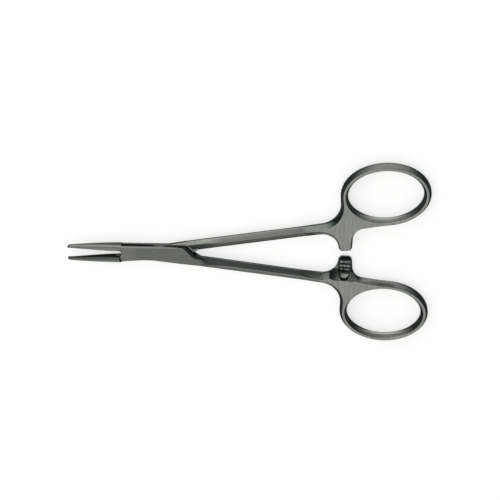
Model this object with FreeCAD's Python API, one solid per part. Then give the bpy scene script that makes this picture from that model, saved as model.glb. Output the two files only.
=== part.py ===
import FreeCAD, Part
import math
import os

# Straight mosquito forceps with a box lock, lying flat.
# Millimetres. The lock pin's axis is Z through the origin, the finger rings are towards +X and
# the jaws towards -X, and the flat backs of the finger rings lie on z = 0.
# Both halves are drawn in the closed position, with the jaws met on the plane y = 0, and are
# then turned apart about the pin to the slightly open position that they are shown in.
# The two halves share one blank: turned over about X, the blank of one is that of the other.

# how far each half is turned from closed
HALF_OPENING = 3.25

# finger rings
RING_THICKNESS = 4.6
RING_X = 78.3
RING_Y = 17.95
RING_LENGTH = 28.2          # between the middles of the section, along X
RING_WIDTH = 20.4           # between the middles of the section, along Y
RING_SECTION = 2.54
RING_LAND = 0.86            # flat ground strip on the front and back of the ring
RING_SIDE = 1.4             # upright strip at the ring's widest

# shanks
SHANK_ANGLE = 5.0           # from the closing plane
SHANK_OFFSET = 1.25         # from the pin to the shank's middle line
SHANK_OUTER_FACET = 1.45
SHANK_INNER_FACET = 1.85
SHANK_RIDGE = 0.3
SHANK_SIDE = 0.9            # upright strip at the shank's two sides
SHANK_RIDGE_START = 0.75    # how far the ridge lies further out inside the box
SHANK_RIDGE_ROOT = 0.65     # and just behind it
SHANK_THICKNESS = 2.7
SHANK_START = 2.0           # inside the box, from the pin
SHANK_START_SLIM = 0.45     # how much its outer facet is narrower there
SHANK_ROOT_THICKNESS = 3.4
SHANK_ROOT = 13.8           # where it has that thickness, from the pin
SHANK_WAIST_START = 23.0    # where the taper from the box ends

# box lock
BOX_THICKNESS = 3.9
BOX_EDGE = 0.6              # height of the bevel round the box's faces
BOX_BEVEL = 0.2             # width of that bevel
JAW_ROOT = 13.5             # the slot's front end, from the pin
CROTCH = 12.3               # where the shanks part, from the pin
BOX_TOP_FRONT = 2.25        # the plates' opening edge, from the closing plane
BOX_TOP_BACK = 3.15
BOX_SHOULDER = 9.1
BOX_WAIST = 2.55            # the plates' other edge beside the pin
BOX_WAIST_MIDDLE = 2.0      # that edge's hollow is this far towards the jaws from the pin
BOX_WAIST_ROUND = 12.0
BOX_HEEL = 13.95            # the plates' rounded front corner, beside the other half's jaw
BOX_HEEL_DEPTH = 2.75
BOX_HEEL_ROUND = 1.3
BOX_FLARE = 7.5             # where the plates' edge runs into the shank, from the pin
BOX_FLARE_SUNK = 0.35       # how far inside the shank that edge lies there
BOX_TAIL = 4.5              # length of the plates past the crotch, sunk in the shank
BOX_TAIL_SUNK = 1.1
BOX_TAIL_SHORT = 2.0        # how much shorter the plates are at the shank's inner edge
BOX_TAIL_INNER_SUNK = 0.6
BOX_FLARE_BEVEL = 0.6
BOX_RAMP = 1.45             # slanting end of the box's faces, in plan
BOX_SHOULDER_ROUND = 1.0
CROTCH_ROUND = 0.4
SLOT_HEIGHT = 1.56
LOCK_PLAY = 0.03            # between the waist and each plate
POCKET_GAP = 0.08           # between a shoulder and the plate's edge when closed
THICK_START = 2.6           # where the through half's shank is thick again, from the pin
WAIST_INSET = 0.15          # of the waist's lower edge from the plates' edge
WAIST_ROUND = 3.0

# lock pin
PIN_RADIUS = 1.4
PIN_HEAD_RADIUS = 1.9
PIN_HEAD_DEPTH = 0.5
PIN_PLAY = 0.03

# jaws
JAW_TIP = 32.1
JAW_TIP_ROUND = 0.9
JAW_TIP_WIDTH = 1.1
JAW_TIP_BLUNT = 0.3         # share of that width which is left at the very tip
JAW_TIP_ANGLES = (78, 55, 28)
JAW_HOLLOW = 1.5            # power of the taper: above 1 the back of the jaw is hollow
JAW_ROOT_WIDTH = 2.5
JAW_TIP_THICKNESS = 1.45
JAW_ROOT_THICKNESS = 3.9
JAW_GRIP_ROOT = 0.82        # height of the gripping face, as a share of the thickness
JAW_GRIP_TIP = 0.6
JAW_RIDGE = 0.48            # where the jaw is thickest, as a share of its width
JAW_ROUNDNESS = 0.8         # of the outer corners, as a share of the largest that fits
JAW_STATIONS = 6
JAW_CLOSED_GAP = 0.04
JAW_RELIEF = 0.3            # how far each gripping face falls back at the root
JAW_RELIEF_LENGTH = 8.0
TOOTH_PITCH = 0.6
TOOTH_DEPTH = 0.22
TOOTH_CREST = 0.1           # flat between two grooves
TOOTH_TIP_MARGIN = 1.2      # from the jaw's tip to the first groove
TOOTH_ROOT_MARGIN = 0.9     # from the jaw's root to the last

# web between shank and ring, and the ratchet tongue
WEB_FILLET_OUTER = 7.5
WEB_BEVEL = 0.95
WEB_NECK_BEVEL = 1.0        # where the shank's inner side turns into the tongue
TONGUE_BEVEL = 0.5
WEB_START = 55.3            # along the shank, where it is as thick as the web
WEB_RAMP = 5.5              # length over which it thickens
TONGUE_LEFT = 61.4
TONGUE_WIDTH = 4.55
TONGUE_TIP = 2.1            # past the closing plane when closed
TONGUE_LEAN = 0.95          # how much wider each side is at the root
TONGUE_TIP_ROUND = 1.35
TONGUE_LEFT_FILLET = 5.4
TONGUE_RIGHT_FILLET = 4.2
TONGUE_ROOT = 5.6
TONGUE_PLAY = 0.06          # from the middle plane to the ratchet's crests
RACK_WIDTH = 3.3
RACK_HEIGHT = 0.85
RACK_FRONT = 0.6            # from the tongue's tip to the rack
RATCHET_FIRST = 2.35        # from the tongue's tip to the first tooth's holding flank
RATCHET_PITCH = 1.46
RATCHET_TEETH = 3
GULLET_WIDTH = 0.77
GULLET_DEPTH = 0.7
RACK_TAIL = 1.95            # length behind the last gullet
RACK_TAIL_RISE = 0.8        # how far the tail stands above the teeth
RACK_TAIL_TAPER = 0.9       # on each side
RACK_ROUND = 0.7            # of the rack's corners in plan
RACK_GROOVE = 0.35          # moat round the rack
SCOOP_START = 2.9           # where the tongue's back slopes up to the web
SCOOP_RUN_OUT = 8.5         # length over which that slope fades into the shank
SCOOP_SPREAD = 12.0         # how far it goes on beside the tongue, under the ring

# drawing
PAST = 1.0                  # how far a cutting shape runs on past the metal
SUNK = 0.3                  # how far a joined shape runs into what carries it
CORNER_ROOM = 0.95          # share of a straight edge that its fillets may take
LEAST_ROUND = 0.2

MID = RING_THICKNESS / 2
AXIS_X = FreeCAD.Vector(1, 0, 0)
AXIS_Z = FreeCAD.Vector(0, 0, 1)
ORIGIN = FreeCAD.Vector(0, 0, 0)


def corner_arc(before, corner, after, radius, room):
    """Tangent points and middle of the fillet of a corner, no longer than the room on its edges."""
    a = (before - corner).normalize()
    b = (after - corner).normalize()
    half = a.getAngle(b) / 2
    reach = min(radius / math.tan(half), room)
    radius = reach * math.tan(half)
    middle = (a + b).normalize()
    return corner + a * reach, corner + middle * (radius / math.sin(half) - radius), corner + b * reach


def outline(corners, z):
    """Closed wire of straight edges at height z; a corner (x, y, r) is rounded where r > 0."""
    points = [FreeCAD.Vector(x, y, z) for x, y, r in corners]
    count = len(points)
    stops = []
    for i, (x, y, r) in enumerate(corners):
        if r <= 0:
            stops.append((points[i], None, points[i]))
            continue
        room = []
        for j in (i - 1, (i + 1) % count):
            share = CORNER_ROOM * r / (r + corners[j][2])
            room.append(share * (points[j] - points[i]).Length)
        stops.append(corner_arc(points[i - 1], points[i], points[(i + 1) % count], r, min(room)))
    edges = []
    for i in range(count):
        start, middle, end = stops[i]
        if middle is not None:
            edges.append(Part.Arc(start, middle, end).toShape())
        following = stops[(i + 1) % count][0]
        edges.append(Part.LineSegment(end, following).toShape())
    return Part.Wire(edges)


def prism(corners, z0, z1):
    return Part.Face(outline(corners, z0)).extrude(FreeCAD.Vector(0, 0, z1 - z0))


def bevelled(middle, land, half_thickness, edge):
    """Plate about the middle plane whose faces are the land outline and whose waist the middle one."""
    levels = [(land, MID - half_thickness), (middle, MID - half_thickness + edge),
              (middle, MID + half_thickness - edge), (land, MID + half_thickness)]
    return Part.makeLoft([outline(corners, z) for corners, z in levels], True, True)


def ellipse(length, width, z):
    curve = Part.Ellipse(FreeCAD.Vector(RING_X, RING_Y, z), length / 2, width / 2)
    return Part.Wire(curve.toShape())


def ring_body(sign, reach=0):
    """The ring's outside (sign 1) or its opening (sign -1), run on past both faces by reach."""
    wide, flat = sign * RING_SECTION, sign * RING_LAND
    levels = [(flat, 0), (wide, MID - RING_SIDE / 2), (wide, MID + RING_SIDE / 2), (flat, RING_THICKNESS)]
    if reach > 0:
        levels = [(flat, -reach)] + levels + [(flat, RING_THICKNESS + reach)]
    wires = [ellipse(RING_LENGTH + more, RING_WIDTH + more, z) for more, z in levels]
    return Part.makeLoft(wires, True, True)


def shank_line(x, side):
    """Y of the shank's middle (side 0), outer (1) or inner (-1) edge at x."""
    slope = math.tan(math.radians(SHANK_ANGLE))
    return SHANK_OFFSET + slope * x + side * shank_width() / 2 / math.cos(math.radians(SHANK_ANGLE))


def shank_width():
    return SHANK_OUTER_FACET + SHANK_RIDGE + SHANK_INNER_FACET


def on_shank(along, across):
    """X and Y of a point that far along the shank's middle line, and across towards its outer edge."""
    angle = math.radians(SHANK_ANGLE)
    return (along * math.cos(angle) - across * math.sin(angle),
            SHANK_OFFSET + along * math.sin(angle) + across * math.cos(angle))


def shank_section(along, thickness, slim, further, side):
    """Faceted section with the ridge off its middle and both sides 2 * side high."""
    half, top = shank_width() / 2, thickness / 2
    edge, ridge_out = half - slim, half - SHANK_OUTER_FACET + further
    ridge_in = ridge_out - SHANK_RIDGE
    upper = [(edge, side), (ridge_out, top), (ridge_in, top), (-half, side)]
    lower = [(across, -z) for across, z in reversed(upper)]
    place = [FreeCAD.Vector(*on_shank(along, across), MID + z) for across, z in upper + lower]
    return Part.makePolygon(place + [place[0]])


def shank():
    side = SHANK_SIDE / 2
    stations = [(SHANK_START, BOX_THICKNESS, SHANK_START_SLIM, SHANK_RIDGE_START, side),
                (SHANK_ROOT, SHANK_ROOT_THICKNESS, 0, SHANK_RIDGE_ROOT, side),
                (SHANK_WAIST_START, SHANK_THICKNESS, 0, 0, side),
                (WEB_START - WEB_RAMP, SHANK_THICKNESS, 0, 0, side),
                (WEB_START, RING_THICKNESS, 0, 0, RING_SIDE / 2)]
    return Part.makeLoft([shank_section(*station) for station in stations], True, True)


def inset(corners):
    """Land outline of corners (x, y, r, bevel), each moved inwards by its own bevel."""
    points = [FreeCAD.Vector(x, y, 0) for x, y, r, b in corners]
    count = len(points)
    moved = []
    for i, (x, y, r, b) in enumerate(corners):
        into = (points[i] - points[i - 1]).normalize()
        out = (points[(i + 1) % count] - points[i]).normalize()
        turn = into.x * out.y - into.y * out.x
        normal = FreeCAD.Vector(-into.y - out.y, into.x + out.x, 0)
        scale = 2 * b / (normal.Length ** 2)
        radius = 0
        if r > 0:
            radius = r + b if turn < 0 else max(r - b, LEAST_ROUND)
        moved.append((x + normal.x * scale, y + normal.y * scale, radius))
    return moved


def web_corners():
    """Web and tongue, in plan, counter-clockwise from the shank's inner edge."""
    ring_left = RING_X - (RING_LENGTH + RING_SECTION) / 2
    ring_bottom = RING_Y - (RING_WIDTH + RING_SECTION) / 2
    half = shank_width() / 2
    root_left, root_right = TONGUE_LEFT - TONGUE_LEAN, TONGUE_LEFT + TONGUE_WIDTH + TONGUE_LEAN
    inner = TONGUE_BEVEL
    return [
        (*on_shank(WEB_START, -half), 0, 0),
        (root_left, shank_line(root_left, -1), TONGUE_LEFT_FILLET, WEB_NECK_BEVEL),
        (TONGUE_LEFT, -TONGUE_TIP, TONGUE_TIP_ROUND, inner),
        (TONGUE_LEFT + TONGUE_WIDTH, -TONGUE_TIP, TONGUE_TIP_ROUND, inner),
        (root_right, TONGUE_ROOT, TONGUE_RIGHT_FILLET, inner),
        (RING_X, ring_bottom, 0, WEB_BEVEL),
        (RING_X, RING_Y, 0, WEB_BEVEL),
        (ring_left, RING_Y, 0, WEB_BEVEL),
        (ring_left, shank_line(ring_left, 1), WEB_FILLET_OUTER, WEB_BEVEL),
        (*on_shank(WEB_START, half), 0, 0),
    ]


def web():
    corners = web_corners()
    middle = [(x, y, r) for x, y, r, b in corners]
    land = inset(corners)
    half = shank_width() / 2
    land[0] = (*on_shank(WEB_START, SHANK_INNER_FACET - half), 0)
    land[6] = (RING_X, RING_Y, 0)
    land[7] = (corners[7][0] + WEB_BEVEL, RING_Y, 0)
    land[9] = (*on_shank(WEB_START, half - SHANK_OUTER_FACET), 0)
    return bevelled(middle, land, RING_THICKNESS / 2, (RING_THICKNESS - RING_SIDE) / 2)


def tongue_relief():
    """What is cut from behind the tongue: a slope up to the web that fades into the shank."""
    left, right = TONGUE_LEFT - TONGUE_LEAN, TONGUE_LEFT + TONGUE_WIDTH + SCOOP_SPREAD
    floor, tip = MID + TONGUE_PLAY + RACK_HEIGHT, -TONGUE_TIP - 2 * PAST
    side = [(tip, -PAST), (tip, floor), (SCOOP_START, floor), (SCOOP_START + floor + PAST, -PAST)]
    points = [FreeCAD.Vector(left, y, z) for y, z in side]
    profile = Part.Face(Part.makePolygon(points + [points[0]]))
    fading = profile.extrude(FreeCAD.Vector(-SCOOP_RUN_OUT, -shank_width(), 0))
    return profile.extrude(FreeCAD.Vector(right - left, 0, 0)).fuse(fading)


def rack_plan(more):
    """Corners of the rack and its tail, or of its moat, more wider all round."""
    middle = TONGUE_LEFT + TONGUE_WIDTH / 2
    half = RACK_WIDTH / 2 + more
    tail = RATCHET_FIRST - TONGUE_TIP + (RATCHET_TEETH - 1) * RATCHET_PITCH + GULLET_WIDTH
    end, front, narrow = tail + RACK_TAIL + more / 2, -TONGUE_TIP - more, half - RACK_TAIL_TAPER
    r = RACK_ROUND + more
    return [(middle - half, front, r), (middle + half, front, r), (middle + half, tail, r),
            (middle + narrow, end, r), (middle - narrow, end, r), (middle - half, tail, r)]


def rack():
    """Saw-toothed pad behind the tongue, with its narrowing tail."""
    crest, root = MID + TONGUE_PLAY, MID + TONGUE_PLAY + RACK_HEIGHT
    front = -TONGUE_TIP + RACK_FRONT
    y = RATCHET_FIRST - TONGUE_TIP
    side = [(front, root + SUNK), (front, (crest + root) / 2), ((front + y) / 2, crest)]
    for _ in range(RATCHET_TEETH):
        side += [(y, crest), (y, crest + GULLET_DEPTH), (y + GULLET_WIDTH, crest)]
        y += RATCHET_PITCH
    y += GULLET_WIDTH - RATCHET_PITCH
    tail = crest - RACK_TAIL_RISE
    side += [(y, tail), (y + RACK_TAIL, tail), (y + RACK_TAIL, root + SUNK)]
    left = TONGUE_LEFT + TONGUE_WIDTH / 2 - RACK_WIDTH / 2
    points = [FreeCAD.Vector(left, y, z) for y, z in side]
    body = Part.Face(Part.makePolygon(points + [points[0]])).extrude(FreeCAD.Vector(RACK_WIDTH, 0, 0))
    return body.common(prism(rack_plan(0), tail - PAST, root + PAST))


def grip_line(x):
    """Y of the jaw's gripping face at x, which falls back towards the jaw's root."""
    near_root = min(1, max(0, 1 - (-JAW_ROOT - x) / JAW_RELIEF_LENGTH))
    return -JAW_CLOSED_GAP / 2 - JAW_RELIEF * near_root ** JAW_HOLLOW


def jaw_section(x, width, thickness, grip):
    """Section with a flat gripping face near y = 0, a ridge and a rounded back towards -Y."""
    face, back, top = grip_line(x), -width, thickness / 2
    ridge, edge = face + (back - face) * JAW_RIDGE, top * grip
    r = JAW_ROUNDNESS * min(ridge - back, top)
    q = r * (1 - math.sqrt(0.5))

    def at(y, z):
        return FreeCAD.Vector(x, y, MID + z)

    edges = [
        Part.LineSegment(at(face, edge), at(ridge, top)).toShape(),
        Part.LineSegment(at(ridge, top), at(back + r, top)).toShape(),
        Part.Arc(at(back + r, top), at(back + q, top - q), at(back, top - r)).toShape(),
        Part.LineSegment(at(back, top - r), at(back, r - top)).toShape(),
        Part.Arc(at(back, r - top), at(back + q, q - top), at(back + r, -top)).toShape(),
        Part.LineSegment(at(back + r, -top), at(ridge, -top)).toShape(),
        Part.LineSegment(at(ridge, -top), at(face, -edge)).toShape(),
        Part.LineSegment(at(face, -edge), at(face, edge)).toShape(),
    ]
    return Part.Wire(edges)


def jaw(thick_end):
    """One jaw, tapering from its root to a rounded tip, run on at full depth to thick_end."""
    tip = JAW_TIP - JAW_TIP_ROUND
    sections = []
    for degrees in JAW_TIP_ANGLES:
        angle = math.radians(degrees)
        shrink = math.cos(angle)
        x = -tip - JAW_TIP_ROUND * math.sin(angle)
        width = JAW_TIP_WIDTH * (JAW_TIP_BLUNT + (1 - JAW_TIP_BLUNT) * shrink)
        sections.append(jaw_section(x, width, JAW_TIP_THICKNESS * shrink, JAW_GRIP_TIP))
    for i in range(JAW_STATIONS + 1):
        share = 1 - i / JAW_STATIONS
        x = -JAW_ROOT - (tip - JAW_ROOT) * share
        width = JAW_ROOT_WIDTH - (JAW_ROOT_WIDTH - JAW_TIP_WIDTH) * share ** JAW_HOLLOW
        thickness = JAW_ROOT_THICKNESS - (JAW_ROOT_THICKNESS - JAW_TIP_THICKNESS) * share
        grip = JAW_GRIP_ROOT - (JAW_GRIP_ROOT - JAW_GRIP_TIP) * share
        sections.append(jaw_section(x, width, thickness, grip))
    if thick_end > -JAW_ROOT:
        sections.append(jaw_section(thick_end, JAW_ROOT_WIDTH, BOX_THICKNESS, JAW_GRIP_ROOT))
    return Part.makeLoft(sections, True, True)


def serrations():
    """Cross grooves of the gripping face, as one compound to cut away."""
    half = (TOOTH_PITCH - TOOTH_CREST) / 2
    over = JAW_CLOSED_GAP / 2
    spread = half * (1 + over / TOOTH_DEPTH)
    first, last = JAW_TIP - TOOTH_TIP_MARGIN, JAW_ROOT + TOOTH_ROOT_MARGIN
    grooves = []
    for i in range(int((first - last) / TOOTH_PITCH) + 1):
        x = i * TOOTH_PITCH - first
        y = grip_line(x)
        points = [(x - spread, y + over), (x, y - TOOTH_DEPTH), (x + spread, y + over)]
        corners = [FreeCAD.Vector(px, py, -PAST) for px, py in points]
        face = Part.Face(Part.makePolygon(corners + [corners[0]]))
        grooves.append(face.extrude(FreeCAD.Vector(0, 0, RING_THICKNESS + 2 * PAST)))
    return Part.makeCompound(grooves)


def handle():
    """Shank, web, ring and ratchet of one half, on the side of +Y."""
    body = ring_body(1).multiFuse([web(), shank()]).cut(ring_body(-1, PAST))
    moat = prism(rack_plan(RACK_GROOVE), -PAST, MID + TONGUE_PLAY + RACK_HEIGHT)
    return body.cut(tongue_relief()).cut(moat).fuse(rack())


def turned_over(shape):
    other = shape.copy()
    other.rotate(FreeCAD.Vector(0, 0, MID), AXIS_X, 180)
    return other


def box_outline():
    """Plan of the box's plates at their widest, with the jaw above and the shank below."""
    tail, tail_inner = CROTCH + BOX_TAIL, CROTCH + BOX_TAIL - BOX_TAIL_SHORT
    jaw_sunk = JAW_ROOT + SUNK
    return [
        (-JAW_ROOT, JAW_CLOSED_GAP / 2, 0),
        (-BOX_HEEL, -BOX_HEEL_DEPTH, BOX_HEEL_ROUND),
        (-BOX_WAIST_MIDDLE, -BOX_WAIST, BOX_WAIST_ROUND),
        (BOX_FLARE, BOX_FLARE_SUNK - shank_line(BOX_FLARE, 1), 0),
        (tail, BOX_TAIL_SUNK - shank_line(tail, 1), 0),
        (tail_inner, -BOX_TAIL_INNER_SUNK - shank_line(tail_inner, -1), 0),
        (CROTCH, 0, CROTCH_ROUND),
        (BOX_SHOULDER, BOX_TOP_BACK, BOX_SHOULDER_ROUND),
        (-JAW_ROOT, BOX_TOP_FRONT, 0),
        (-jaw_sunk, BOX_TOP_FRONT, 0),
        (-jaw_sunk, JAW_CLOSED_GAP / 2, 0),
    ]


def box_land():
    """Plan of the box's flat faces, which end in a slanting ramp towards the shank."""
    corners = [(x, y, r, BOX_BEVEL) for x, y, r in box_outline()]
    tail, tail_inner = corners[4][0] - 2 * BOX_RAMP, corners[5][0] - 2 * BOX_RAMP
    land = inset(corners)
    land[3] = (BOX_FLARE, BOX_FLARE_BEVEL - shank_line(BOX_FLARE, 1), 0)
    land[4] = (tail, SHANK_OUTER_FACET - SHANK_RIDGE_ROOT - shank_line(tail, 1), 0)
    land[5] = (tail_inner, -BOX_RAMP / 2 - shank_line(tail_inner, -1), 0)
    land[6] = (CROTCH - BOX_RAMP, -BOX_BEVEL, CROTCH_ROUND)
    land[7] = (BOX_SHOULDER - BOX_RAMP, BOX_TOP_BACK - BOX_BEVEL, BOX_SHOULDER_ROUND - BOX_BEVEL)
    return land


def lock_pin():
    """Rivet with its two countersunk heads, ground flush with the box."""
    half = BOX_THICKNESS / 2
    rod = Part.makeCylinder(PIN_RADIUS, BOX_THICKNESS, FreeCAD.Vector(0, 0, MID - half))
    head = Part.makeCone(PIN_RADIUS, PIN_HEAD_RADIUS, PIN_HEAD_DEPTH,
                         FreeCAD.Vector(0, 0, MID + half - PIN_HEAD_DEPTH))
    return rod.multiFuse([head, turned_over(head)])


def female_half():
    """Box half: upper jaw, box with its slot, lower shank, ring and ratchet tongue."""
    box = bevelled(box_outline(), box_land(), BOX_THICKNESS / 2, BOX_EDGE)
    gripping = jaw(-JAW_ROOT).cut(serrations())
    body = box.multiFuse([turned_over(handle()), turned_over(gripping)])
    reach, front = RING_WIDTH / 2, BOX_HEEL + PAST
    slot = [(-front, -reach, 0), (CROTCH, -reach, 0), (CROTCH, reach, 0), (-JAW_ROOT, reach, 0),
            (-JAW_ROOT, JAW_CLOSED_GAP / 2, 0), (-front, JAW_CLOSED_GAP / 2, 0)]
    body = body.cut(prism(slot, MID - SLOT_HEIGHT / 2, MID + SLOT_HEIGHT / 2)).cut(lock_pin())
    return body.removeSplitter()


def box_edge(x):
    """Y of the straight opening edge of the box's plates at x."""
    slope = (BOX_TOP_BACK - BOX_TOP_FRONT) / (BOX_SHOULDER + JAW_ROOT)
    return BOX_TOP_BACK - slope * (BOX_SHOULDER - x)


def pocket():
    """Plan of what the through half gives up to the box's plates, over the whole opening."""
    gap = POCKET_GAP
    clear = BOX_TOP_BACK + SHANK_OUTER_FACET * 4
    low = -BOX_HEEL_DEPTH - gap
    swing = math.hypot(BOX_HEEL, BOX_HEEL_DEPTH - BOX_HEEL_ROUND / 2) + gap
    return [
        (-swing, clear, 0),
        (-swing, low, BOX_HEEL_ROUND + gap),
        (CROTCH, low, 0),
        (CROTCH + gap, 0, 0),
        (BOX_SHOULDER + gap, BOX_TOP_BACK + gap, BOX_SHOULDER_ROUND),
        (THICK_START, box_edge(THICK_START) + gap, 0),
        (THICK_START - 2 * PAST, clear, 0),
    ]


def waist():
    """The thin part of the through half that passes through the box's slot."""
    low = -BOX_WAIST + WAIST_INSET
    front, back = JAW_ROOT + 2 * PAST, SHANK_ROOT + PAST
    corners = [
        (-front, -JAW_CLOSED_GAP / 2, 0),
        (-front, -JAW_ROOT_WIDTH + 2 * WAIST_INSET, 0),
        (-BOX_HEEL, -BOX_HEEL_DEPTH + 2 * WAIST_INSET, 0),
        (-BOX_WAIST_MIDDLE, low, BOX_WAIST_ROUND),
        (BOX_WAIST_MIDDLE, low, WAIST_ROUND / 2),
        (CROTCH + POCKET_GAP, POCKET_GAP, 0),
        (back, shank_line(back, 0), 0),
        (BOX_SHOULDER, shank_line(BOX_SHOULDER, 1) - POCKET_GAP, 0),
        (THICK_START, box_edge(THICK_START), WAIST_ROUND),
        (-BOX_WAIST_MIDDLE, box_edge(-BOX_WAIST_MIDDLE), WAIST_ROUND),
        (-JAW_ROOT + POCKET_GAP, -JAW_CLOSED_GAP / 2, 0),
    ]
    half = SLOT_HEIGHT / 2 - LOCK_PLAY
    return prism(corners, MID - half, MID + half)


def male_half():
    """Through half: lower jaw, waist, upper shank, ring and ratchet tongue."""
    gripping = jaw(BOX_HEEL_ROUND - BOX_HEEL).cut(serrations())
    thick = handle().fuse(gripping)
    half = SLOT_HEIGHT / 2 - LOCK_PLAY
    for z0, z1 in ((-PAST, MID - half), (MID + half, RING_THICKNESS + PAST)):
        thick = thick.cut(prism(pocket(), z0, z1))
    body = thick.fuse(waist())
    bore = Part.makeCylinder(PIN_RADIUS + PIN_PLAY, RING_THICKNESS)
    return body.cut(bore).removeSplitter()


def opened(shape, angle):
    shape.rotate(ORIGIN, AXIS_Z, angle)
    return shape


def build():
    return {
        "female_half": opened(female_half(), -HALF_OPENING),
        "male_half": opened(male_half(), HALF_OPENING),
        "lock_pin": lock_pin(),
    }


os.makedirs("parts", exist_ok=True)
for name, shape in build().items():
    shape.exportStep("parts/" + name + ".step")
    box = shape.BoundBox
    print(name, len(shape.Solids), "solids, valid", shape.isValid(), "volume", round(shape.Volume, 1),
          "x %.2f..%.2f" % (box.XMin, box.XMax), "y %.2f..%.2f" % (box.YMin, box.YMax),
          "z %.2f..%.2f" % (box.ZMin, box.ZMax))
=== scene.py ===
import bpy
import bmesh
import math
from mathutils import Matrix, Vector


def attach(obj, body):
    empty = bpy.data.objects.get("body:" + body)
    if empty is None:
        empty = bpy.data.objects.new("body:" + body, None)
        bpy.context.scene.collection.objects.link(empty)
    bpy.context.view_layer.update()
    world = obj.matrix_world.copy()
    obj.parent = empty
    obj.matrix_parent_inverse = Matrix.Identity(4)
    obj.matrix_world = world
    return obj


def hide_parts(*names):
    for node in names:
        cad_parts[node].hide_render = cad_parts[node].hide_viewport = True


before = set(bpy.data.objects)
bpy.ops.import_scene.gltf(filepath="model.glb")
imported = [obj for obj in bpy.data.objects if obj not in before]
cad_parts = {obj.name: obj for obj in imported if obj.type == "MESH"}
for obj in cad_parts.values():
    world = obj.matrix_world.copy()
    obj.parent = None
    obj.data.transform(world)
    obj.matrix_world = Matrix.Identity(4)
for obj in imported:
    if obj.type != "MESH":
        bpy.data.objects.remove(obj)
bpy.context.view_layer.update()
mm = 0.001
print("frame loaded:", sorted(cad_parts))


# where the picture was taken from: nearly overhead, leaning in from the upper half's side
camera = {
    "lookAt": (30.9 * mm, 1.13 * mm, 2.4 * mm),
    "distance": 676.5 * mm,
    "lean": -26.94,             # degrees from straight down, about X
    "turn": 1.82,
    "roll": -0.66,
    "lens": 141.8,
    "sensor": 36,
    "nearest": 10 * mm,         # what is closer than this isn't drawn
}


def makeCamera(values):
    lens = bpy.data.cameras.new("camera")
    lens.lens = values["lens"]
    lens.sensor_width = values["sensor"]
    lens.clip_start = values["nearest"]
    stand = bpy.data.objects.new("camera", lens)
    bpy.context.scene.collection.objects.link(stand)
    stand.rotation_euler = [math.radians(values[angle]) for angle in ("lean", "turn", "roll")]
    back = stand.rotation_euler.to_matrix().col[2]
    stand.location = Vector(values["lookAt"]) + back * values["distance"]
    bpy.context.scene.camera = stand


# node helpers shared by the world, the paper, the steel and the tooth crests
def addNode(tree, kind, inputs=None, **settings):
    node = tree.nodes.new(kind)
    for key, value in settings.items():
        setattr(node, key, value)
    for key, value in (inputs or {}).items():
        if isinstance(value, bpy.types.NodeSocket):
            tree.links.new(value, node.inputs[key])
        else:
            node.inputs[key].default_value = value
    return node


def maths(tree, operation, first, second=0.0, third=0.0):
    inputs = {0: first, 1: second, 2: third}
    return addNode(tree, "ShaderNodeMath", inputs, operation=operation).outputs[0]


def times(tree, first, *others):
    for other in others:
        first = maths(tree, "MULTIPLY", first, other)
    return first


# soft steps: rising or fading from low to high, or rising and then fading again
def between(tree, value, low, high, atLow=0.0, atHigh=1.0):
    limits = {"Value": value, "From Min": low, "From Max": high, "To Min": atLow, "To Max": atHigh}
    return addNode(tree, "ShaderNodeMapRange", limits, interpolation_type="SMOOTHSTEP").outputs[0]


def fading(tree, value, low, high):
    return between(tree, value, low, high, 1.0, 0.0)


def band(tree, value, start, full, fade, end):
    return times(tree, between(tree, value, start, full), fading(tree, value, fade, end))


# a white tent that is dim in six places: overhead, at both sides, past the rings and past the tips
tent = {
    "light": (0.97, 0.98, 0.95),
    "strength": 0.95,
    "dims": (                   # towards, share of the light, degrees at its core and its edge
        ((0.30, 0.50, 0.81), (0.16, 0.20, 0.20), 18, 27),
        ((0.42, 0.80, 0.36), (0.20, 0.24, 0.235), 12, 30),
        ((0.62, 0.24, 0.72), (0.18, 0.22, 0.215), 10, 26),
        ((0.95, 0.22, 0.16), (0.06, 0.08, 0.075), 20, 46),
        ((-0.97, 0.12, 0.10), (0.42, 0.45, 0.43), 16, 40),
        ((0.0, -1.0, 0.12), (0.55, 0.55, 0.54), 12, 34),
    ),
}


def makeWorld(values):
    world = bpy.data.worlds.new("tent")
    bpy.context.scene.world = world
    world.use_nodes = True
    tree = world.node_tree
    sight = addNode(tree, "ShaderNodeTexCoord").outputs["Generated"]
    light = (*values["light"], 1)
    for towards, share, near, far in values["dims"]:
        side = Vector(towards).normalized()
        facing = addNode(tree, "ShaderNodeVectorMath", {0: sight, 1: side}, operation="DOT_PRODUCT")
        edge, core = [math.cos(math.radians(angle)) for angle in (far, near)]
        shade = between(tree, facing.outputs["Value"], edge, core)
        dim = [level * part for level, part in zip(values["light"], share)]
        colours = {"Factor": shade, "A": light, "B": (*dim, 1)}
        light = addNode(tree, "ShaderNodeMix", colours, data_type="RGBA").outputs["Result"]
    sky = tree.nodes["Background"]
    tree.links.new(light, sky.inputs["Color"])
    sky.inputs["Strength"].default_value = values["strength"]


studio = {
    "paper": (0.5, 0.5, 0.495, 1),
    "paperRoughness": 0.9,
    "paperSize": 4,             # metres
    "glow": 0.66,               # of the paper, as the camera and the steel see it
    "glowColour": (1, 1, 1, 1),
    "lampPlace": (-0.50, 0.80, 0.48),
    "lampSize": 1.0,
    "lampPower": 2.5,
}


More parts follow.
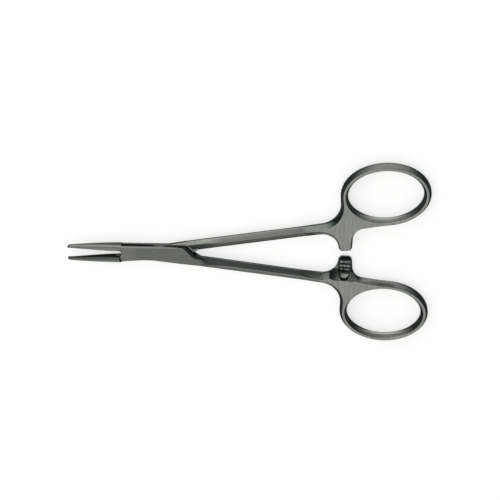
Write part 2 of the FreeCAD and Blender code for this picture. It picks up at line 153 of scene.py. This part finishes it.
def makeStudio(values):
    scene = bpy.context.scene
    scene.view_settings.view_transform = "Standard"
    bpy.ops.mesh.primitive_plane_add(size=values["paperSize"])
    floor = bpy.context.object
    floor.name = "floor"
    paper = bpy.data.materials.new("paper")
    paper.use_nodes = True
    tree = paper.node_tree
    shader = tree.nodes["Principled BSDF"]
    shader.inputs["Base Color"].default_value = values["paper"]
    shader.inputs["Roughness"].default_value = values["paperRoughness"]
    shader.inputs["Specular IOR Level"].default_value = 0.0
    shader.inputs["Emission Color"].default_value = values["glowColour"]
    ray = addNode(tree, "ShaderNodeLightPath").outputs
    seen = maths(tree, "MAXIMUM", ray["Is Camera Ray"], ray["Is Glossy Ray"])
    seen = maths(tree, "MAXIMUM", seen, ray["Is Transmission Ray"])
    tree.links.new(times(tree, seen, values["glow"]), shader.inputs["Emission Strength"])
    floor.data.materials.append(paper)

    light = bpy.data.lights.new("softbox", "AREA")
    light.shape = "DISK"
    light.size = values["lampSize"]
    light.energy = values["lampPower"]
    lamp = bpy.data.objects.new("softbox", light)
    scene.collection.objects.link(lamp)
    lamp.location = values["lampPlace"]
    aim = Vector(camera["lookAt"]) - lamp.location
    lamp.rotation_euler = aim.to_track_quat("-Z", "Y").to_euler()


# satin steel, ground along the shanks and across the webs, with painted shade and painted light by
# place and by facing
# a facing goes from 0, for a face that is edge-on to its axis, to 1, where it looks along it
satin = {
    "grey": (0.176, 0.178, 0.172),
    "paintedShadeTint": (0.84, 1.05, 1.0),     # a teal cast on the painted shade: the darker a face, the more of this
    "warm": (1.02, 1.0, 0.975),
    "cool": (0.985, 1.0, 1.015),
    "mottle": 300,              # patches in a metre
    "mottleDetail": 1.0,
    "mottleSpread": (0.35, 0.65),
    "edgeTint": (0.5, 0.5, 0.5, 1),
    "brightness": 1.0,
    "roughness": 0.24,
    "streak": (260, 9000, 6000),        # marks in a metre along X, Y and Z
    "webStreak": (9000, 260, 6000),
    "streakDepth": 0.14,
    "grind": (40, 1900, 900),
    "webGrind": (1900, 60, 900),
    "grindDepth": 0.08,
    "spread": (0.3, 0.7),       # of the noise, over which a mark goes from dark to light
    "bump": 0.10,
    "bumpHeight": 0.02 * mm,
    "webStart": (49 * mm, 55 * mm),
    "neck": (46 * mm, 51 * mm, 58.6 * mm, 62 * mm),     # where the shank turns into the web
    "endFacing": (0.05, 0.66),
    "endShade": 0.08,           # painted shade on the faces that look along the forceps
    "bevelFacing": (0.55, 0.75),
    "bevelShine": 1.6,          # painted sheen on the sloping sides
    # painted shade on the upright walls
    "wallFacing": (0.10, 0.36),
    "wallShade": 0.42,
    "squareFacing": (0.84, 0.98),       # a web's wall that looks straight towards +Y isn't shaded
    "webFacing": (0.90, 0.98),
    # painted sheen on the web's top faces
    "webShine": 1.5,
    "reach": (1.5 * mm, 0.8 * mm),      # how near other steel has to be for painted groove shade, box and web
    "reachSamples": 8,
    "closed": (0.45, 0.85),     # share that is open, from painted groove shade to plain steel
    "grooveShade": 0.12,
}
cornerHighlight = {"brightness": 1.25, "roughness": 0.2}         # a painted highlight on the eased corners, which are also glossier

# each half's own painted shade and painted light, place by place; towards is the side of Y on which
# the other jaw lies
halfShades = {
    "box_half": {
        "towards": -1,
        "ringMiddle": -22.4 * mm,
        "jaw": 1.6,
        "jawBack": 0.9,
        "root": 0.8,
        "neck": 0.6,
        "boxFace": 0.86,
    },
    "through_half": {
        "towards": 1,
        "ringMiddle": 22.4 * mm,
        "jaw": 0.55,
        "jawBack": 1.6,
        "root": 0.5,
        "neck": 0.85,
        "boxFace": 1.0,
    },
}
shadePlaces = {                 # where they lie along X, and which way the faces look there
    "jaws": (-14.2 * mm, -13.0 * mm),
    "jawFacing": (0.08, 0.34),
    "root": (5 * mm, 8 * mm, 14 * mm, 21 * mm),
    "rootFacing": (0.02, 0.2),
    "box": (-11 * mm, -7 * mm, 13 * mm, 18 * mm),
    "ringStart": (66 * mm, 70 * mm),
    "ringFacing": (0.25, 0.5),
    "ringArc": (-6 * mm, 6 * mm),       # along Y, from the ring's middle
    "ringShades": (1.45, 0.75),         # painted light below the middle and painted shade above it, on what looks towards +Y
}

# painted shade on the lower tongue: black round the ratchet's teeth and beside them
ratchet = {
    "x": (60.8 * mm, 61.5 * mm, 66.0 * mm, 67.4 * mm),
    "y": (-8.6 * mm, -7.2 * mm, 0.0, 1.0 * mm),
    "crest": (2.0 * mm, 2.25 * mm),     # above this the teeth are plain steel
    "shade": 0.25,
    "flankLeft": (57 * mm, 60.5 * mm, 61.6 * mm, 62 * mm),
    "flankRight": (65.2 * mm, 65.9 * mm, 67.5 * mm, 70.5 * mm),
    "flankY": (-11 * mm, -9.5 * mm, 0.0, 1.0 * mm),
    "flankTop": (2.6 * mm, 4.4 * mm),
    "flankShade": 0.5,
    "padX": (61.8 * mm, 62.2 * mm, 65.2 * mm, 65.6 * mm),
    "padY": (-8.0 * mm, -7.4 * mm, 0.0, 1.0 * mm),
    "spots": (1500, 500, 500),          # dark ones on the teeth's pad
    "spotEdge": (0.42, 0.58),
    "spotShade": 0.45,
}

# painted shade makes the upper tongue's two steep sides black; each lies where X plus lean times Y
# is the same
upperTongue = {
    "leftLean": 0.33,
    "left": (62.75 * mm, 62.95 * mm),
    "leftEnd": (60.0 * mm, 60.4 * mm),
    "leftY": (1.6 * mm, 2.3 * mm, 4.9 * mm, 6.0 * mm),
    "rightLean": -0.09,
    "right": (64.9 * mm, 65.1 * mm),
    "rightEnd": (67 * mm, 68 * mm),
    "rightY": (1.6 * mm, 2.3 * mm, 6.3 * mm, 7.6 * mm),
    "shade": 0.08,
}


# what the grain and the painted shade and light depend on: the place on the part and the way its
# surface looks, at rest
def readPlace(tree, values):
    where = addNode(tree, "ShaderNodeTexCoord").outputs
    at = addNode(tree, "ShaderNodeSeparateXYZ", {0: where["Object"]}).outputs
    facing = addNode(tree, "ShaderNodeSeparateXYZ", {0: where["Normal"]}).outputs
    return {
        "place": where["Object"],
        "x": at["X"],
        "y": at["Y"],
        "z": at["Z"],
        "facingX": facing["X"],
        "facingY": facing["Y"],
        "facingZ": facing["Z"],
        "upright": maths(tree, "ABSOLUTE", facing["Z"]),
        "web": between(tree, at["X"], *values["webStart"]),
        "neck": band(tree, at["X"], *values["neck"]),
    }


def brushed(tree, here, scale, detail=2.0, grain=0.6):
    mapped = addNode(tree, "ShaderNodeMapping", {"Vector": here["place"], "Scale": scale})
    noise = {"Vector": mapped.outputs[0], "Scale": 1.0, "Detail": detail, "Roughness": grain}
    return addNode(tree, "ShaderNodeTexNoise", noise).outputs[0]


def ground(tree, here, alongShank, acrossWeb):
    ways = [brushed(tree, here, scale) for scale in (alongShank, acrossWeb)]
    marks = {"Factor": here["web"], "A": ways[0], "B": ways[1]}
    return addNode(tree, "ShaderNodeMix", marks, data_type="FLOAT").outputs[0]


# where share is 1 the shade is multiplied by level
def shaded(tree, shade, share, level):
    return times(tree, shade, maths(tree, "MULTIPLY_ADD", share, level - 1.0, 1.0))


# painted shade on the ends and the walls, painted sheen on the slopes and on the web's tops
def shadeFacing(tree, values, here):
    along = maths(tree, "ABSOLUTE", here["facingX"])
    shade = between(tree, along, *values["endFacing"], 1.0, values["endShade"])
    offNeck = maths(tree, "SUBTRACT", 1.0, here["neck"])
    sloping = times(tree, fading(tree, here["upright"], *values["bevelFacing"]), offNeck)
    shade = shaded(tree, shade, sloping, values["bevelShine"])
    square = times(tree, here["web"], between(tree, here["facingY"], *values["squareFacing"]))
    notSquare = maths(tree, "SUBTRACT", 1.0, square)
    wall = times(tree, fading(tree, here["upright"], *values["wallFacing"]), notSquare)
    shade = shaded(tree, shade, wall, values["wallShade"])
    webTop = times(tree, here["web"], between(tree, here["facingZ"], *values["webFacing"]))
    return shaded(tree, shade, webTop, values["webShine"])


# painted shade and painted light on the jaws, the lock's root, the neck, the box's face and the
# rings' sides
def shadeHalf(tree, shade, values, half, places, here):
    inward = times(tree, here["facingY"], half["towards"])
    outward = times(tree, here["facingY"], -half["towards"])
    onJaw = fading(tree, here["x"], *places["jaws"])
    onRoot = band(tree, here["x"], *places["root"])
    onBox = band(tree, here["x"], *places["box"])
    shares = {
        "jaw": times(tree, onJaw, between(tree, inward, *places["jawFacing"])),
        "jawBack": times(tree, onJaw, between(tree, outward, *places["jawFacing"])),
        "root": times(tree, onRoot, between(tree, outward, *places["rootFacing"])),
        "neck": times(tree, here["neck"], between(tree, here["facingY"], *places["rootFacing"])),
        "boxFace": times(tree, onBox, between(tree, here["facingZ"], *values["webFacing"])),
    }
    for name, share in shares.items():
        shade = shaded(tree, shade, share, half[name])

    fromMiddle = maths(tree, "SUBTRACT", here["y"], half["ringMiddle"])
    ringSide = times(tree, between(tree, here["x"], *places["ringStart"]),
                     between(tree, here["facingY"], *places["ringFacing"]),
                     fading(tree, here["upright"], *values["webFacing"]))
    below = fading(tree, fromMiddle, *places["ringArc"])
    above = between(tree, fromMiddle, *places["ringArc"])
    for arc, level in zip((below, above), places["ringShades"]):
        shade = shaded(tree, shade, times(tree, ringSide, arc), level)
    return shade


# painted shade round the ratchet's teeth and on its flanks, and random dark spots on the teeth's
# pad
def shadeRatchet(tree, shade, values, here):
    x, y, z = here["x"], here["y"], here["z"]
    moat = times(tree, band(tree, x, *values["x"]), band(tree, y, *values["y"]),
                 fading(tree, z, *values["crest"]))
    shade = shaded(tree, shade, moat, values["shade"])
    flanks = maths(tree, "ADD", band(tree, x, *values["flankLeft"]),
                   band(tree, x, *values["flankRight"]))
    flanks = times(tree, flanks, band(tree, y, *values["flankY"]),
                   fading(tree, z, *values["flankTop"]))
    shade = shaded(tree, shade, flanks, values["flankShade"])
    spots = fading(tree, brushed(tree, here, values["spots"], detail=0.0), *values["spotEdge"])
    pad = times(tree, band(tree, x, *values["padX"]), band(tree, y, *values["padY"]), spots)
    return shaded(tree, shade, pad, values["spotShade"])


# painted shade along the upper tongue's two steep sides
def shadeTongue(tree, shade, values, here):
    x, y = here["x"], here["y"]
    leaning = maths(tree, "MULTIPLY_ADD", y, values["leftLean"], x)
    left = times(tree, fading(tree, leaning, *values["left"]),
                 between(tree, x, *values["leftEnd"]), band(tree, y, *values["leftY"]))
    leaning = maths(tree, "MULTIPLY_ADD", y, values["rightLean"], x)
    right = times(tree, between(tree, leaning, *values["right"]),
                  fading(tree, x, *values["rightEnd"]), band(tree, y, *values["rightY"]))
    return shaded(tree, shade, maths(tree, "ADD", left, right), values["shade"])


def makeSteel(name, values, body, brightness, roughness):
    material = bpy.data.materials.new(name)
    material.use_nodes = True
    tree = material.node_tree
    shader = tree.nodes["Principled BSDF"]
    here = readPlace(tree, values)
    streak = ground(tree, here, values["streak"], values["webStreak"])
    grind = ground(tree, here, values["grind"], values["webGrind"])

    shade = shadeFacing(tree, values, here)
    shade = shadeHalf(tree, shade, values, halfShades[body], shadePlaces, here)
    if body == "box_half":
        shade = shadeRatchet(tree, shade, ratchet, here)
    else:
        shade = shadeTongue(tree, shade, upperTongue, here)
    # painted shade in the grooves and recesses, from the steel's own occlusion
    reach = between(tree, here["x"], *values["webStart"], *values["reach"])
    airy = addNode(tree, "ShaderNodeAmbientOcclusion", {"Distance": reach},
                   samples=values["reachSamples"], only_local=True).outputs["AO"]
    shade = times(tree, shade, between(tree, airy, *values["closed"], values["grooveShade"], 1.0))

    tone = shade
    for marks, depth, level in ((streak, values["streakDepth"], brightness),
                                (grind, values["grindDepth"], 1.0)):
        dark, light = level * (1 - depth), level * (1 + depth)
        tone = times(tree, tone, between(tree, marks, *values["spread"], dark, light))
    patches = {"Vector": here["place"], "Scale": values["mottle"], "Detail": values["mottleDetail"]}
    mottle = addNode(tree, "ShaderNodeTexNoise", patches).outputs[0]
    casts = {"Factor": between(tree, mottle, *values["mottleSpread"]),
             "A": (*values["warm"], 1), "B": (*values["cool"], 1)}
    cast = addNode(tree, "ShaderNodeMix", casts, data_type="RGBA").outputs["Result"]
    tints = {"Factor": shade, "A": (*values["paintedShadeTint"], 1), "B": cast}
    tint = addNode(tree, "ShaderNodeMix", tints, data_type="RGBA").outputs["Result"]
    grey = addNode(tree, "ShaderNodeVectorMath", {0: tint, 1: values["grey"]}, operation="MULTIPLY")
    lit = addNode(tree, "ShaderNodeVectorMath", {0: grey.outputs[0]}, operation="SCALE")
    tree.links.new(tone, lit.inputs["Scale"])
    tree.links.new(lit.outputs[0], shader.inputs["Base Color"])
    shader.inputs["Metallic"].default_value = 1.0
    shader.inputs["Specular Tint"].default_value = values["edgeTint"]
    shader.inputs["Roughness"].default_value = roughness
    bump = addNode(tree, "ShaderNodeBump", {"Height": streak, "Strength": values["bump"],
                                            "Distance": values["bumpHeight"]})
    tree.links.new(bump.outputs[0], shader.inputs["Normal"])
    return material


makeCamera(camera)
makeWorld(tent)
makeStudio(studio)
satinSteel = {}
cornerHighlightSteel = {}
for body in ("box_half", "through_half"):
    satinSteel[body] = makeSteel("satinSteel_" + body, satin, body,
                                 satin["brightness"], satin["roughness"])
    cornerHighlightSteel[body] = makeSteel("paintedCornerHighlight_" + body, satin, body,
                                  cornerHighlight["brightness"], cornerHighlight["roughness"])
print("camera, light and steel made")


# a CAD node's mesh is loose triangles, so a copy is merged and its flat faces are joined
merging = {
    "within": 0.001 * mm,
    "flat": 0.6,                # degrees between two faces, up to which they become one
}


def mergedCopy(nodeName, values, joinFrom=-math.inf):
    mesh = bmesh.new()
    mesh.from_mesh(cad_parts[nodeName].data)
    bmesh.ops.remove_doubles(mesh, verts=mesh.verts, dist=values["within"])
    plain = [vert for vert in mesh.verts if vert.co.x > joinFrom]
    seams = [edge for edge in mesh.edges if min(vert.co.x for vert in edge.verts) > joinFrom]
    flat = math.radians(values["flat"])
    bmesh.ops.dissolve_limit(mesh, angle_limit=flat, verts=plain, edges=seams)
    return mesh


# each half is finished as on the bench: every corner that a hand meets is eased
easing = {
    "corner": 24,               # degrees, above which an edge is a corner
    "width": 0.13 * mm,
    "steps": 2,
    "jaws": -13.0 * mm,         # nearer the tips than this the teeth stay sharp
    "rivet": 2.3 * mm,          # the pin's rim is ground flush and has no eased corner
    "rack": (61.8 * mm, 65.3 * mm, 10.6 * mm),      # the ratchet's teeth stay sharp too
}


def easedCopy(nodeName, pieceName, body, values):
    mesh = mergedCopy(nodeName, merging, values["jaws"])
    weights = mesh.edges.layers.float.new("bevel_weight_edge")
    corner = math.radians(values["corner"])
    rackStart, rackEnd, rackSide = values["rack"]
    for edge in mesh.edges:
        if len(edge.link_faces) == 2 and edge.calc_face_angle() > corner:
            middle = (edge.verts[0].co + edge.verts[1].co) / 2
            onRack = rackStart < middle.x < rackEnd and abs(middle.y) < rackSide
            flush = middle.xy.length < values["rivet"]
            sharp = middle.x < values["jaws"] or onRack or flush
            edge[weights] = 0.0 if sharp else 1.0
            edge.smooth = not sharp
    made = bpy.data.meshes.new(pieceName)
    mesh.to_mesh(made)
    mesh.free()
    made.materials.clear()
    made.materials.append(satinSteel[body])
    made.materials.append(cornerHighlightSteel[body])
    for face in made.polygons:
        face.use_smooth = True
    piece = bpy.data.objects.new(pieceName, made)
    bpy.context.scene.collection.objects.link(piece)
    ease = piece.modifiers.new("ease", "BEVEL")
    ease.limit_method = "WEIGHT"
    ease.width = values["width"]
    ease.segments = values["steps"]
    ease.use_clamp_overlap = False
    ease.material = 1           # the eased corners get the steel with the painted highlight
    smooth = piece.modifiers.new("smooth", "WEIGHTED_NORMAL")
    smooth.keep_sharp = True
    return piece


bodies = {"female_half": "box_half", "male_half": "through_half", "lock_pin": "box_half"}
for nodeName, body in bodies.items():
    piece = easedCopy(nodeName, nodeName + "_finished", body, easing)
    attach(piece, body)
    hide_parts(nodeName)
print("the two halves and the pin finished")


# the crests of the cross serrations in the two gripping faces, each with a painted highlight
crests = {
    "facing": 0.97,             # of the faces that look at the other jaw
    "widest": 0.2 * mm,         # one that is narrower than this is a crest
    "radius": 0.06 * mm,
    "sunk": 0.05 * mm,          # so that a crest stands out by a hundredth
    "length": 0.86,             # of the face's height
    "sides": 8,
    # painted highlight on the crests
    "brightness": 1.5,
    "roughness": 0.2,
}


def makeCrestTree():
    tree = bpy.data.node_groups.new("toothCrests", "GeometryNodeTree")
    inputs = {"Geometry": "NodeSocketGeometry", "Crest radius": "NodeSocketFloat",
              "Length share": "NodeSocketFloat", "Sides": "NodeSocketInt",
              "Steel": "NodeSocketMaterial"}
    for name, kind in inputs.items():
        tree.interface.new_socket(name, in_out="INPUT", socket_type=kind)
    tree.interface.new_socket("Geometry", in_out="OUTPUT", socket_type="NodeSocketGeometry")
    given = addNode(tree, "NodeGroupInput").outputs
    bar = addNode(tree, "GeometryNodeMeshCylinder", {"Vertices": given["Sides"], "Depth": 1.0,
                                                     "Radius": given["Crest radius"]})
    height = addNode(tree, "GeometryNodeInputNamedAttribute", {"Name": "height"}, data_type="FLOAT")
    long = times(tree, height.outputs["Attribute"], given["Length share"])
    size = addNode(tree, "ShaderNodeCombineXYZ", {"X": 1.0, "Y": 1.0, "Z": long})
    placed = addNode(tree, "GeometryNodeInstanceOnPoints", {"Points": given["Geometry"],
                                                            "Instance": bar.outputs["Mesh"],
                                                            "Scale": size.outputs[0]})
    solid = addNode(tree, "GeometryNodeRealizeInstances", {"Geometry": placed.outputs[0]})
    done = addNode(tree, "GeometryNodeSetMaterial", {"Geometry": solid.outputs[0],
                                                     "Material": given["Steel"]})
    addNode(tree, "NodeGroupOutput", {"Geometry": done.outputs[0]})
    return tree


def crestPoints(nodeName, towards, values):
    mesh = mergedCopy(nodeName, merging)
    places, heights = [], []
    for face in mesh.faces:
        xs = [vert.co.x for vert in face.verts]
        zs = [vert.co.z for vert in face.verts]
        onGrip = face.normal.y * towards > values["facing"] and xs[0] < easing["jaws"]
        if onGrip and max(xs) - min(xs) < values["widest"]:
            heights.append(max(zs) - min(zs))
            places.append(face.calc_center_bounds() - face.normal * values["sunk"])
    mesh.free()
    return places, heights


def makeCrests(tree, nodeName, body, values):
    places, heights = crestPoints(nodeName, halfShades[body]["towards"], values)
    points = bpy.data.meshes.new(nodeName + "_crestPoints")
    points.from_pydata(places, [], [])
    points.attributes.new("height", "FLOAT", "POINT").data.foreach_set("value", heights)
    row = bpy.data.objects.new(nodeName + "_crestRow", points)
    bpy.context.scene.collection.objects.link(row)
    grown = row.modifiers.new("crests", "NODES")
    grown.node_group = tree
    crestHighlightSteel = makeSteel("paintedCrestHighlight_" + body, satin, body,
                          values["brightness"], values["roughness"])
    given = {"Crest radius": values["radius"], "Length share": values["length"],
             "Sides": values["sides"], "Steel": crestHighlightSteel}
    for socket in tree.interface.items_tree:
        if socket.name in given:
            grown[socket.identifier] = given[socket.name]
    depsgraph = bpy.context.evaluated_depsgraph_get()
    made = bpy.data.meshes.new_from_object(row.evaluated_get(depsgraph))
    bpy.data.objects.remove(row)
    piece = bpy.data.objects.new(nodeName + "_tooth_crests", made)
    bpy.context.scene.collection.objects.link(piece)
    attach(piece, body)
    print("tooth crests on", nodeName, len(places))


crestTree = makeCrestTree()
for nodeName in ("female_half", "male_half"):
    makeCrests(crestTree, nodeName, bodies[nodeName], crests)
